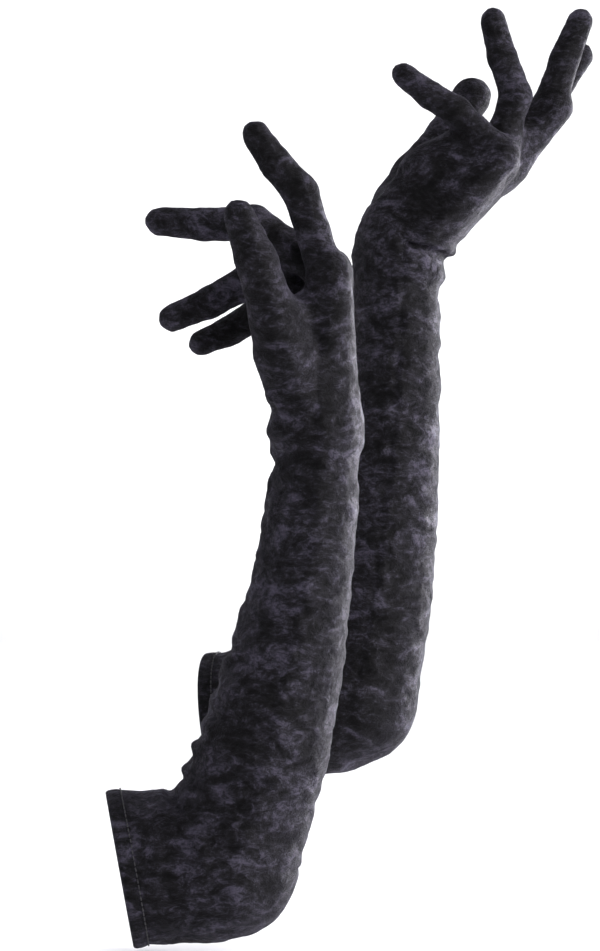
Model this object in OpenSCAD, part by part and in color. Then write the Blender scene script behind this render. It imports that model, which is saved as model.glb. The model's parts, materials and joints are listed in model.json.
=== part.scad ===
// A pair of long velvet opera gloves, in the shape they take on two raised, bent arms.
// The origin is the centre of the right cuff. X runs from the cuffs toward the elbows,
// Y runs from the right glove to the left glove, and Z runs up toward the fingertips.
// Every limb of a glove bends in a plane of constant Y, so all hinge axes are parallel to Y.

/* [Cloth] */
// Thickness of the velvet, lining side to pile tips
cloth_t = 1.6; // [1.2:0.1:2]
// Half the width of a sewn seam, as an angle around the limb
seam_half = 1.5; // [1:0.25:3]

/* [Cuff] */
// Outer radius of the turned hem
hem_r = 42; // [40:0.5:44]
// Inner radius of the turned hem
hem_bore_r = 38.5; // [36:0.5:39]
// Width of the turned hem
hem_w = 8; // [6:0.5:14]
// Width of the elastic tape in the hem
elastic_w = 5; // [3:0.5:5]
// Radius of the sewing thread
thread_r = 0.5; // [0.3:0.05:0.6]

/* [Arm] */
// Outer radius of the sleeve above the elbow
sleeve_r = 41; // [41:0.5:42]
// Radius of the elbow
elbow_r = 38; // [36:0.5:38]
// Radius of the forearm next to the wrist, palm to back
wrist_r = 23.1; // [23.1:0.1:25]
// Radius of the forearm next to the wrist, side to side
wrist_wide_r = 29.1; // [29.1:0.1:32]
// Distance between the two gloves
pair_gap = 170; // [150:5:220]

/* [Hand] */
// Half the breadth of the hand at the knuckles
hand_half = 36; // [36:0.5:39]
// Spacing of neighbouring fingers
finger_pitch = 19; // [18.5:0.1:20]
// Radius of the index, middle, ring and little finger at the knuckle
finger_r = [8.5, 8.5, 8.2, 7.5]; // [7:0.1:8.7]
// Radius of the thumb at its root
thumb_r = 11.5; // [10:0.5:11.5]

/* [Right glove pose] */
// Elbow centre, X and Z
right_elbow = [56, 0]; // [-10:1:80]
// Wrist centre, X and Z
right_wrist = [102, 228]; // [90:1:250]
// Point that the forearm bows toward, X and Z
right_bow = [100, 136]; // [80:1:160]
// Bend of the index, knuckle and middle joint, in degrees from upright
right_index = [17, 38]; // [0:1:60]
// Bend of the middle finger
right_middle = [56, 89]; // [30:1:100]
// Bend of the ring finger
right_ring = [86, 116]; // [40:1:120]
// Bend of the little finger
right_little = [97, 117]; // [40:1:120]

/* [Left glove pose] */
// Elbow centre, X and Z
left_elbow = [124, 76]; // [70:1:130]
// Wrist centre, X and Z
left_wrist = [153, 331]; // [140:1:340]
// Point that the forearm bows toward, X and Z
left_bow = [148, 196]; // [140:1:200]
// Bend of the index, knuckle and middle joint, in degrees from upright
left_index = [-43, -34]; // [-60:1:20]
// Bend of the middle finger
left_middle = [-44, -20]; // [-60:1:20]
// Bend of the ring finger
left_ring = [-20, 17]; // [-60:1:40]
// Bend of the little finger
left_little = [46, 51]; // [0:1:60]

/* [Hidden] */
SIDES = ["right", "left"];
FINGERS = ["index", "middle", "ring", "little"];

RIGHT = 0;
LEFT = 1;
PALM = 0;
BACK = 180;
ACROSS_GLOVES = [0, 1, 0];

// Places of the limbs, one entry for each glove
side_y = [0, pair_gap];
radial = [-1, 1];
cuff = [[0, 0, 0], [45, pair_gap + 14, 61]];
hem_axis = [[0.981, 0.077, 0.178], [0.976, -0.17, 0.14]];
elbow_xz = [right_elbow, left_elbow];
wrist_xz = [right_wrist, left_wrist];
bow_xz = [right_bow, left_bow];
finger_bend = [
    [right_index, right_middle, right_ring, right_little],
    [left_index, left_middle, left_ring, left_little]
];
// Knuckles, measured from the wrist in X and Z
knuckle_xz = [
    [[5, 80], [5, 82], [4, 75], [1, 65]],
    [[53, 53], [54, 55], [50, 52], [52, 55]]
];
// Lengths of each finger, knuckle to middle joint and middle joint to fingertip centre
finger_len = [[43, 38], [44, 50], [39, 45], [32, 34]];
finger_seat = [-1.5, -0.5, 0.5, 1.5];
// At a finger's joint, the tip stall's round end sits in the open end of the root stall.
nest_r_less = 2.3;
nest_rim_back = 6.5;
nest_rim_tilt = 33;
nest_shoulder = 7;
tip_taper = 0.82;
// Places along the thumb, measured from the wrist in X and Z, with Y toward the thumb side
thumb_path = [
    [[-16, 31, 38], [-21, 40, 56], [-30, 50, 85], [-39, 54, 108]],
    [[-1, 29, 30], [7, 40, 47], [25, 50, 71], [40, 54, 89.5]]
];
thumb_radius = [1, 1, 0.87, 0.68] * thumb_r;

// Places along the forearm, from elbow to wrist, and how far the radius has gone from elbow to wrist
forearm_at = [0.08, 0.2, 0.34, 0.5, 0.66, 0.82];
forearm_taper = [0.08, 0.28, 0.52, 0.72, 0.86, 0.94];
// Rims stand back from a joint's centre by these distances, so that the next limb can turn
sleeve_rim_back = 22;
sleeve_rim_tilt = 21.3;
forearm_rim_back = 9.5;
knuckle_rim_back = 10;
rim_palm_tilt = 0.45;
knuckle_thick = 15.5;
// Radii of the hand's end in the wrist
ball_r = 20.8;
ball_wide_r = 26.6;
// Clear ways for the wearer's arm and fingers through the ends that nest in each other
arm_way_r = 33;
wrist_way_r = 15.5;
finger_way_r = 4.8;
nest_way_r = 4;
way_len = 70;
// Clearances
thumb_gap = 1.2;
pocket_gap = 0.3;
sliver = 0.1;
// Gap left beside each seam strip, as an angle around the limb
seam_gap = 0.4;
panel_steps = 8;
finger_sides = 12;

function unit(v) = v / norm(v);
function to_xyz(xz, y) = [xz[0], y, xz[1]];
function heading(bend) = [-sin(bend), 0, cos(bend)];
function back_of(along) = unit(cross(ACROSS_GLOVES, along));
function side_of(along) = cross(along, back_of(along));

function elbow(s) = to_xyz(elbow_xz[s], side_y[s]);
function wrist(s) = to_xyz(wrist_xz[s], side_y[s]);
function sleeve_axis(s) = unit(elbow(s) - cuff[s]);
function forearm_axis(s) = unit(wrist(s) - to_xyz(bow_xz[s], side_y[s]));
function finger_y(s, f) = side_y[s] - radial[s] * finger_seat[f] * finger_pitch;
function knuckle(s, f) = to_xyz(wrist_xz[s] + knuckle_xz[s][f], finger_y(s, f));
function hand_axis(s) = unit(to_xyz((knuckle_xz[s][1] + knuckle_xz[s][2]) / 2, 0));
function thumb_point(s, i) =
    wrist(s) + [thumb_path[s][i][0], radial[s] * thumb_path[s][i][1], thumb_path[s][i][2]];

// A ring is [outer centre, inner centre, direction along the limb, outer radii, inner radii],
// and each pair of radii is [palm to back, side to side].
function ring(centre, along, thick, wide) =
    [centre, centre, along, [thick, wide], [thick - cloth_t, wide - cloth_t]];
function dome_ring(centre, along, thick, wide, lift) = [
    centre + along * thick * sin(lift),
    centre + along * (thick - cloth_t) * sin(lift),
    along,
    [thick, wide] * cos(lift),
    [thick - cloth_t, wide - cloth_t] * cos(lift)
];
function ring_point(r, layer, a) =
    r[layer] - back_of(r[2]) * r[3 + layer][0] * cos(a) + side_of(r[2]) * r[3 + layer][1] * sin(a);

// Corner numbers of a shell: rows are rings, and columns run around the limb.
function corner(layer, i, j, rows, cols) = (layer * rows + i) * cols + j % cols;
function split(q) = [[q[0], q[1], q[2]], [q[0], q[2], q[3]]];
function wall_faces(rows, cols, spans) = [
    for (i = [0 : rows - 2], j = [0 : spans - 1])
        each concat(
            split([
                corner(0, i, j, rows, cols), corner(0, i, j + 1, rows, cols),
                corner(0, i + 1, j + 1, rows, cols), corner(0, i + 1, j, rows, cols)
            ]),
            split([
                corner(1, i, j, rows, cols), corner(1, i + 1, j, rows, cols),
                corner(1, i + 1, j + 1, rows, cols), corner(1, i, j + 1, rows, cols)
            ])
        )
];
function first_rim(rows, cols, spans) = [
    for (j = [0 : spans - 1])
        each split([
            corner(0, 0, j + 1, rows, cols), corner(0, 0, j, rows, cols),
            corner(1, 0, j, rows, cols), corner(1, 0, j + 1, rows, cols)
        ])
];
function last_rim(rows, cols, spans) = [
    for (j = [0 : spans - 1])
        each split([
            corner(0, rows - 1, j, rows, cols), corner(0, rows - 1, j + 1, rows, cols),
            corner(1, rows - 1, j + 1, rows, cols), corner(1, rows - 1, j, rows, cols)
        ])
];
function side_edges(rows, cols) = [
    for (i = [0 : rows - 2])
        each concat(
            split([
                corner(0, i, 0, rows, cols), corner(0, i + 1, 0, rows, cols),
                corner(1, i + 1, 0, rows, cols), corner(1, i, 0, rows, cols)
            ]),
            split([
                corner(0, i + 1, cols - 1, rows, cols), corner(0, i, cols - 1, rows, cols),
                corner(1, i, cols - 1, rows, cols), corner(1, i + 1, cols - 1, rows, cols)
            ])
        )
];
function tip_faces(rows, cols) = [
    for (j = [0 : cols - 1])
        each [
            [corner(0, rows - 1, j, rows, cols), corner(0, rows - 1, j + 1, rows, cols), 2 * rows * cols],
            [corner(1, rows - 1, j + 1, rows, cols), corner(1, rows - 1, j, rows, cols), 2 * rows * cols + 1]
        ]
];

// A strip of cloth that covers part of the way around a limb
module strip(rings, from, to, steps) {
    rows = len(rings);
    cols = steps + 1;
    points = [
        for (layer = [0, 1], r = rings, j = [0 : steps])
            ring_point(r, layer, from + (to - from) * j / steps)
    ];
    polyhedron(
        points,
        concat(
            wall_faces(rows, cols, steps), first_rim(rows, cols, steps),
            last_rim(rows, cols, steps), side_edges(rows, cols)
        )
    );
}

// Half of a limb: the palm half or the back half
module panel(rings, half) {
    reach = 90 - seam_half - sliver;
    strip(rings, half - reach, half + reach, panel_steps);
}

// The sewn seams down both sides of a limb
module seams(rings) {
    for (place = [90, 270])
        strip(rings, place - seam_half + seam_gap, place + seam_half - seam_gap, 1);
}

// A tube of cloth that is open at both ends
module open_stall(rings) {
    rows = len(rings);
    points = [
        for (layer = [0, 1], r = rings, j = [0 : finger_sides - 1])
            ring_point(r, layer, 360 * (j + 0.5) / finger_sides)
    ];
    polyhedron(
        points,
        concat(
            wall_faces(rows, finger_sides, finger_sides),
            first_rim(rows, finger_sides, finger_sides),
            last_rim(rows, finger_sides, finger_sides)
        )
    );
}

// A finger stall that is closed a little way past the last ring
module closed_stall(rings, tip_centre, along, tip_r) {
    rows = len(rings);
    points = concat(
        [
            for (layer = [0, 1], r = rings, j = [0 : finger_sides - 1])
                ring_point(r, layer, 360 * (j + 0.5) / finger_sides)
        ],
        [tip_centre + along * tip_r, tip_centre + along * (tip_r - cloth_t)]
    );
    polyhedron(
        points,
        concat(
            wall_faces(rows, finger_sides, finger_sides),
            first_rim(rows, finger_sides, finger_sides),
            tip_faces(rows, finger_sides)
        )
    );
}

// Stands its children on a point, with their Z along a direction
module along_line(start, direction) {
    d = unit(direction);
    translate(start)
        rotate([0, acos(d[2]), atan2(d[1], d[0])])
            children();
}

// A straight clear way, flat-sided
module clear_way(start, direction, r, sides) {
    along_line(start, direction) cylinder(h = way_len, r = r, $fn = sides);
}

function sleeve_rings(s) =
    let (
        axis = sleeve_axis(s),
        tilted = axis * cos(sleeve_rim_tilt) - back_of(axis) * sin(sleeve_rim_tilt),
        start = cuff[s] + hem_axis[s] * hem_w,
        rim = elbow(s) - axis * sleeve_rim_back
    )
    [
        ring(start, hem_axis[s], sleeve_r, sleeve_r),
        ring(rim, tilted, sleeve_r / cos(sleeve_rim_tilt), sleeve_r)
    ];

function bow_point(s, t) =
    pow(1 - t, 2) * elbow(s) + 2 * t * (1 - t) * to_xyz(bow_xz[s], side_y[s]) + t * t * wrist(s);
function bow_axis(s, t) =
    unit((1 - t) * (to_xyz(bow_xz[s], side_y[s]) - elbow(s))
        + t * (wrist(s) - to_xyz(bow_xz[s], side_y[s])));
function forearm_rings(s) =
    let (start_axis = bow_axis(s, 0))
    concat(
        [for (lift = [-87, -65, -42, -20, 0]) dome_ring(elbow(s), start_axis, elbow_r, elbow_r, lift)],
        [
            for (i = [0 : len(forearm_at) - 1])
                ring(
                    bow_point(s, forearm_at[i]), bow_axis(s, forearm_at[i]),
                    elbow_r + (wrist_r - elbow_r) * forearm_taper[i],
                    elbow_r + (wrist_wide_r - elbow_r) * forearm_taper[i]
                )
        ],
        [ring(wrist(s) - forearm_axis(s) * forearm_rim_back, forearm_axis(s), wrist_r, wrist_wide_r)]
    );

// The hand's rings: place along the hand, shift toward the palm, and radii
hand_shape = [
    [0, 0, ball_r, ball_wide_r],
    [0.13, 0, ball_r, ball_wide_r + 1],
    [0.34, 2, 22, 31],
    [0.62, 2, 19.5, 34]
];
function hand_rings(s) =
    let (
        axis = hand_axis(s),
        mid_knuckle = (knuckle(s, 0) + knuckle(s, 1) + knuckle(s, 2) + knuckle(s, 3)) / 4,
        reach = (mid_knuckle - wrist(s)) * axis,
        slope = (knuckle(s, 0) - knuckle(s, 3)) * axis / (3 * finger_pitch),
        rim_axis = unit(axis - ACROSS_GLOVES * radial[s] * slope - rim_palm_tilt * back_of(axis)),
        rim = wrist(s) + axis * (reach - knuckle_rim_back)
    )
    concat(
        [for (lift = [-58, -30]) dome_ring(wrist(s), axis, ball_r, ball_wide_r, lift)],
        [
            for (h = hand_shape)
                ring(wrist(s) + axis * reach * h[0] - back_of(axis) * h[1], axis, h[2], h[3])
        ],
        [ring(rim, rim_axis, knuckle_thick, hand_half / cos(atan(slope)))]
    );

function finger_joint(s, f) = knuckle(s, f) + heading(finger_bend[s][f][0]) * finger_len[f][0];
function finger_tip(s, f) = finger_joint(s, f) + heading(finger_bend[s][f][1]) * finger_len[f][1];

// The open end of a root stall, cut back on the palm side so that the tip can bend
function nest_ring(joint, along, r) =
    ring(
        joint - along * nest_rim_back,
        unit(along * cos(nest_rim_tilt) - back_of(along) * sin(nest_rim_tilt)),
        r / cos(nest_rim_tilt), r
    );
function root_rings(start, joint, along, r, joint_r) =
    concat(
        [for (lift = [-50, -25, 0]) dome_ring(start, along, r, r, lift)],
        [nest_ring(joint, along, joint_r)]
    );
function tip_rings(joint, tip, along, r, tip_r) =
    concat(
        [for (lift = [-50, -25, 0]) dome_ring(joint, along, r - nest_r_less, r - nest_r_less, lift)],
        [ring(joint + along * nest_shoulder, along, r, r)],
        [for (lift = [0, 40, 70]) dome_ring(tip, along, tip_r, tip_r, lift)]
    );

// A ring in the middle of the thumb's root, where its cloth turns
function thumb_root_rings(s) =
    let (
        p = [for (i = [0 : 2]) thumb_point(s, i)],
        first = unit(p[1] - p[0]),
        second = unit(p[2] - p[1])
    )
    concat(
        [for (lift = [-50, -25, 0]) dome_ring(p[0], first, thumb_r, thumb_r, lift)],
        [ring(p[1], unit(first + second), thumb_radius[1], thumb_radius[1])],
        [nest_ring(p[2], second, thumb_radius[2])]
    );
function thumb_last(s) = unit(thumb_point(s, 3) - thumb_point(s, 2));

module sleeve_panel(s, half) {
    color("#1d1b22") panel(sleeve_rings(s), half);
}

module sleeve_seams(s) {
    color("#121116") seams(sleeve_rings(s));
}

// The hem is turned over an elastic tape, which lies in a closed pocket.
module hem_band(s) {
    pocket_in = hem_bore_r + cloth_t / 2 - pocket_gap;
    pocket_out = hem_r - cloth_t / 2 + pocket_gap;
    stitch_line = hem_w - 1.5;
    color("#17151b")
        along_line(cuff[s], hem_axis[s])
            rotate_extrude($fn = 48)
                difference() {
                    translate([hem_bore_r, 0]) square([hem_r - hem_bore_r, hem_w]);
                    translate([pocket_in, 0.6])
                        square([pocket_out - pocket_in, elastic_w + pocket_gap / 2]);
                    translate([hem_r, stitch_line]) circle(r = thread_r + 0.1, $fn = 24);
                }
}

module hem_elastic(s) {
    inner = hem_bore_r + cloth_t / 2;
    color("#35333a")
        along_line(cuff[s] + hem_axis[s] * 0.7, hem_axis[s])
            rotate_extrude($fn = 48)
                translate([inner, 0]) square([hem_r - cloth_t / 2 - inner, elastic_w]);
}

module hem_stitching(s) {
    color("#0d0c10")
        along_line(cuff[s] + hem_axis[s] * (hem_w - 1.5), hem_axis[s])
            rotate_extrude($fn = 48)
                translate([hem_r, 0]) circle(r = thread_r, $fn = 24);
}

module forearm_panel(s, half) {
    color("#1f1d25")
        difference() {
            panel(forearm_rings(s), half);
            clear_way(elbow(s), -sleeve_axis(s), arm_way_r, 12);
        }
}

module forearm_seams(s) {
    color("#121116")
        difference() {
            seams(forearm_rings(s));
            clear_way(elbow(s), -sleeve_axis(s), arm_way_r, 12);
        }
}

// The hole in the hand that the thumb is set into
module thumb_room(s) {
    root = thumb_point(s, 0);
    translate(root) sphere(r = thumb_r + thumb_gap, $fn = 12);
    clear_way(root, thumb_point(s, 1) - root, thumb_r + thumb_gap, 12);
}

module hand_panel(s, half) {
    color("#1d1b22")
        difference() {
            panel(hand_rings(s), half);
            clear_way(wrist(s), -forearm_axis(s), wrist_way_r, 12);
            thumb_room(s);
        }
}

module hand_seams(s) {
    color("#121116")
        difference() {
            seams(hand_rings(s));
            thumb_room(s);
        }
}

module finger_root_stall(s, f) {
    along = heading(finger_bend[s][f][0]);
    color("#211f27")
        difference() {
            open_stall(root_rings(knuckle(s, f), finger_joint(s, f), along, finger_r[f], finger_r[f]));
            clear_way(knuckle(s, f), -hand_axis(s), finger_way_r, 8);
        }
}

module finger_tip_stall(s, f) {
    along = heading(finger_bend[s][f][1]);
    tip_r = finger_r[f] * tip_taper;
    color("#24222b")
        difference() {
            closed_stall(
                tip_rings(finger_joint(s, f), finger_tip(s, f), along, finger_r[f], tip_r),
                finger_tip(s, f), along, tip_r
            );
            clear_way(finger_joint(s, f), -heading(finger_bend[s][f][0]), nest_way_r, 8);
        }
}

module thumb_root_stall(s) {
    color("#211f27") open_stall(thumb_root_rings(s));
}

module thumb_tip_stall(s) {
    color("#24222b")
        closed_stall(
            tip_rings(thumb_point(s, 2), thumb_point(s, 3), thumb_last(s), thumb_radius[2], thumb_radius[3]),
            thumb_point(s, 3), thumb_last(s), thumb_radius[3]
        );
}

for (s = [RIGHT, LEFT]) {
    sleeve_panel(s, PALM);
    sleeve_panel(s, BACK);
    sleeve_seams(s);
    hem_band(s);
    hem_elastic(s);
    hem_stitching(s);
    forearm_panel(s, PALM);
    forearm_panel(s, BACK);
    forearm_seams(s);
    hand_panel(s, PALM);
    hand_panel(s, BACK);
    hand_seams(s);
    for (f = [0 : 3]) {
        finger_root_stall(s, f);
        finger_tip_stall(s, f);
    }
    thumb_root_stall(s);
    thumb_tip_stall(s);
}
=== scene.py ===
import json
import math

import bmesh
import bpy
import numpy as np
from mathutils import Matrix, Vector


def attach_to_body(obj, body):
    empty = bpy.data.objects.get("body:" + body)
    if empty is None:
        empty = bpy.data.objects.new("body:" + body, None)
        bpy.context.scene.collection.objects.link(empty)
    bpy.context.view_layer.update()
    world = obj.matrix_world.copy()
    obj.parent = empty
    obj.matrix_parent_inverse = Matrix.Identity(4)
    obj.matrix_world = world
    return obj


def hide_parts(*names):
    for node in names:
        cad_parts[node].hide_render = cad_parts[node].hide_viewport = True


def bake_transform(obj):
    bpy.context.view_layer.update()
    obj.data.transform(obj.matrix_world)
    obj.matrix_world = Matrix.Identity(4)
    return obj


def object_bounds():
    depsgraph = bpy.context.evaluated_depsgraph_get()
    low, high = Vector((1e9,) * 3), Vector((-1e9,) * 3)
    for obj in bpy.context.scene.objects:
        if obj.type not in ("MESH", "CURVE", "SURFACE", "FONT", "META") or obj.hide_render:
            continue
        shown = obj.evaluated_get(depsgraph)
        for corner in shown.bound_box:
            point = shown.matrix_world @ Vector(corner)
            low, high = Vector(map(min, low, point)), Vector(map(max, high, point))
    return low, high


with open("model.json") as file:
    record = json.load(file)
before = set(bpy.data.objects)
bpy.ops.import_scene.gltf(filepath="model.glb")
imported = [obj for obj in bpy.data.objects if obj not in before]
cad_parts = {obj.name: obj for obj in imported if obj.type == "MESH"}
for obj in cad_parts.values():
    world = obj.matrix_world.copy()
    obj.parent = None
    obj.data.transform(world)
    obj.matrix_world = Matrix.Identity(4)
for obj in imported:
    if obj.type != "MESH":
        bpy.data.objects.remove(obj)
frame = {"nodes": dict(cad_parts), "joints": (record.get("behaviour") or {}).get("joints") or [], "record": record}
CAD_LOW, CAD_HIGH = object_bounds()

import openvdb
from mathutils import Vector, kdtree, noise

# A pair of long velvet opera gloves, standing as they do on two raised, bent arms.
# Each glove is one field of distances, worked out in millimetres. Its surface becomes one mesh,
# wrinkled by a cloth simulation, and is then cut into pieces.

MM = 0.001
SIDES = ("right", "left")
FINGERS = ("index", "middle", "ring", "little")
UP = np.array((0.0, 1.0, 0.0))

# ---- driving sizes, in millimetres
GRID_STEP = 1.6
CLOTH_T = 1.1
HEM_LENGTH = 8.0
SLEEVE_R = 40.6
ELBOW_R = 34.0
# The point that each forearm bows toward, X and Z
FOREARM_BOW = {"right": (100, 136), "left": (148, 196)}
# Half the thickness and half the width of the forearm, from the elbow to the wrist
FOREARM_STATIONS = (
    (0.00, 33.5, 35.5), (0.12, 35.0, 35.5), (0.25, 34.2, 34.5), (0.40, 31.0, 32.5),
    (0.55, 27.8, 30.5), (0.70, 25.2, 29.0), (0.85, 23.2, 28.2), (1.00, 22.2, 28.0),
)
# Knuckles, measured from the wrist in X and Z
KNUCKLES = {
    "right": {"index": (5, 80), "middle": (5, 82), "ring": (4, 75), "little": (1, 65)},
    "left": {"index": (55, 51), "middle": (57, 53), "ring": (52, 52), "little": (52, 55)},
}
# First points of the thumb, measured from the wrist: X, toward the thumb's side, Z
THUMB_ROOTS = {
    "right": ((-16, 31, 38), (-21, 40, 56)),
    "left": ((-1, 29, 30), (7, 40, 47)),
}
# Half the depth of each finger, and how much less wide than deep it is
FINGER_R = {"index": 9.0, "middle": 9.2, "ring": 9.0, "little": 8.3}
FINGER_NARROW = 1.12
TIP_SHARE = 0.83
METACARPAL_R = (18.5, 11.3)
# How far the back of the hand and the heel of the palm stand proud
BACK_LIFT = {"right": (2.4, 3.4), "left": (-1.5, 3.0)}
# How far along the finger roots the cloth between ring and middle reaches, and its half thickness
WEB = {"right": (0.5, 5.5), "left": (0.38, 7.5)}
# Pads of the palm: start and end (toward the palm, toward the thumb's side, along the hand) and both radii
PALM_PADS = {
    "right": (((6, -13, 6), (8, -20, 44), 15.5, 12.5),),
    "left": (((16, -12, 8), (23, -17, 42), 16, 13), ((23, -17, 42), (20, -18, 62), 13, 11.5),
             ((19, 6, 14), (23, 10, 48), 15, 13), ((13, -20, 58), (13, 16, 63), 11, 11)),
}
HEEL_LIFT = {"right": 0.0, "left": 8.0}
# More cloth round the wrist than round the elbow
WRIST_EXTRA = {"right": -0.4, "left": 2.4}
FOREARM_BACK_LIFT = {"right": (1.0, 1.0), "left": (0.2, -4.2)}
THUMB_TIP_R = {"right": 8.0, "left": 11.5}
# Fingertips that reach a little past the plain solids: X, Y, Z
TIP_REACH = {"left_thumb": (4, 0, 8), "left_little": (-4, 0, 0)}
DIGIT_CUT = 12.5
HEM_PROFILE = (
    (8.1, -1.1), (7.9, -0.3), (7.2, 0.35), (5.6, 0.75), (3.6, 0.9), (1.7, 0.85), (0.5, 0.4),
    (0.0, -0.3), (0.1, -1.2), (0.9, -1.9), (3.0, -2.1), (5.5, -2.1), (7.6, -1.9),
)
TAPE_PROFILE = (
    (7.0, -2.0), (6.7, -1.8), (2.3, -1.8), (2.0, -2.0), (2.3, -2.9), (6.7, -2.9),
)
WRINKLE_SEED = {"right": 11, "left": 23}
WRINKLE_COUNT = 170
WRINKLE_HEIGHT = 1.3
# Folds at the wrist: distance along from it, toward the back (1) or the palm (-1), width, reach, height
WRIST_FOLDS = {
    "right": ((-4, -1, 4.0, 22, 2.4), (-16, -1, 3.6, 18, 1.6), (8, 1, 4.0, 18, 0.6)),
    "left": ((-24, 1, 2.6, 15, -1.5), (-34, 1, 4.0, 15, 2.0), (-2, -1, 3.6, 20, 2.0)),
}
# Rolls of cloth pushed together behind the left wrist: points as X, toward the thumb's side and Z,
# all from the wrist, with a radius
WRIST_ROLLS = {
    "left": (
        ((6, -24, 10, 5.0), (15, -19, 7, 6.5), (21, -9, 3, 7.2), (22.5, 0, 2.5, 7.2),
         (21, 9, 3, 7.0), (15, 19, 6, 6.0), (7, 25, 9, 4.0)),
        ((9, -22, -11, 3.5), (15.5, -13, -12.5, 4.8), (18, 0, -13, 5.2), (15.5, 12, -13, 4.8),
         (10, 21, -11, 3.5)),
    ),
}
# The creases below the rolls, measured the same way
WRIST_CREASES = {
    "left": (
        ((2, -28, 3, 2.0), (12, -25.5, 0, 2.8), (20.5, -18, -3.5, 3.6), (26, -7, -5.5, 4.0),
         (27, 4, -5.5, 4.0), (22, 17, -3.5, 3.2), (12, 26, 0, 2.0)),
        ((13, -25, -19, 1.8), (20, -17, -21, 2.6), (24.5, -5, -22, 3.2), (24.5, 7, -22, 3.0),
         (18, 19, -20, 2.0)),
    ),
}
# The cloth simulation: frames, how firmly the arm holds the cloth, and the scale it runs at
CLOTH_FRAMES = 24
CLOTH_HOLD = 0.32
CLOTH_SCALE = 10.0
# Spare length of the cloth, as a share: from the hem over the elbow and the wrist to the hand
CLOTH_SPARE = (0, 0.02, 0.05, 0.05, 0.04, 0.07, 0.02, 0.0)
# Unevenness of the cloth at the start, and the size of its lumps
CLOTH_UNEVEN = 2.4
CLOTH_UNEVEN_SCALE = 0.045
CLOTH_PIN = 1.0
# The farthest that a point may move, and the share of it that stays at the back of the arm
CLOTH_CAP = 4.0
BACK_CALM = 0.45
CAMERA_PLACE = (0.0941, -1.8, 0.2041)
CAMERA_LENS = 131.0
# Lights: name, place, aim (None is the middle of the gloves), size, power, colour
LIGHTS = (
    ("side", (2.2, 0.2, 0.34), None, 0.8, 18, (0.98, 0.96, 1)),
    ("key", (0.9, -2.2, 1.0), None, 1.2, 8, (0.98, 0.97, 1)),
    ("rim", (1.5, 1.8, 0.4), None, 0.9, 18, (0.95, 0.94, 1)),
    ("backdrop", (0.1, 3.0, 2.4), (0.1, 7.4, 0.3), 2.5, 36, (1, 1, 1)),
    ("floor", (0.1, 1.2, 2.0), (0.1, 2.8, -0.04), 1.5, 7, (1, 1, 1)),
)
LIGHT_SPREAD = math.radians(70)


# ---- places, from the frame
JOINTS = {j["name"]: j for j in frame["joints"]}
MOUNTS = {m["name"]: m for m in frame["record"]["mounts"]}


def joint_place(name):
    return np.array(JOINTS[name]["pos_m"], float) / MM


def unit(v):
    return np.asarray(v, float) / np.linalg.norm(v)


def far_centre(node, start):
    """The middle of the end of a CAD node that lies farthest from start."""
    co = np.array([v.co for v in frame["nodes"][node].data.vertices], float) / MM
    away = np.linalg.norm(co - start, axis=1)
    return co[away > away.max() - 0.6].mean(axis=0)


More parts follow.
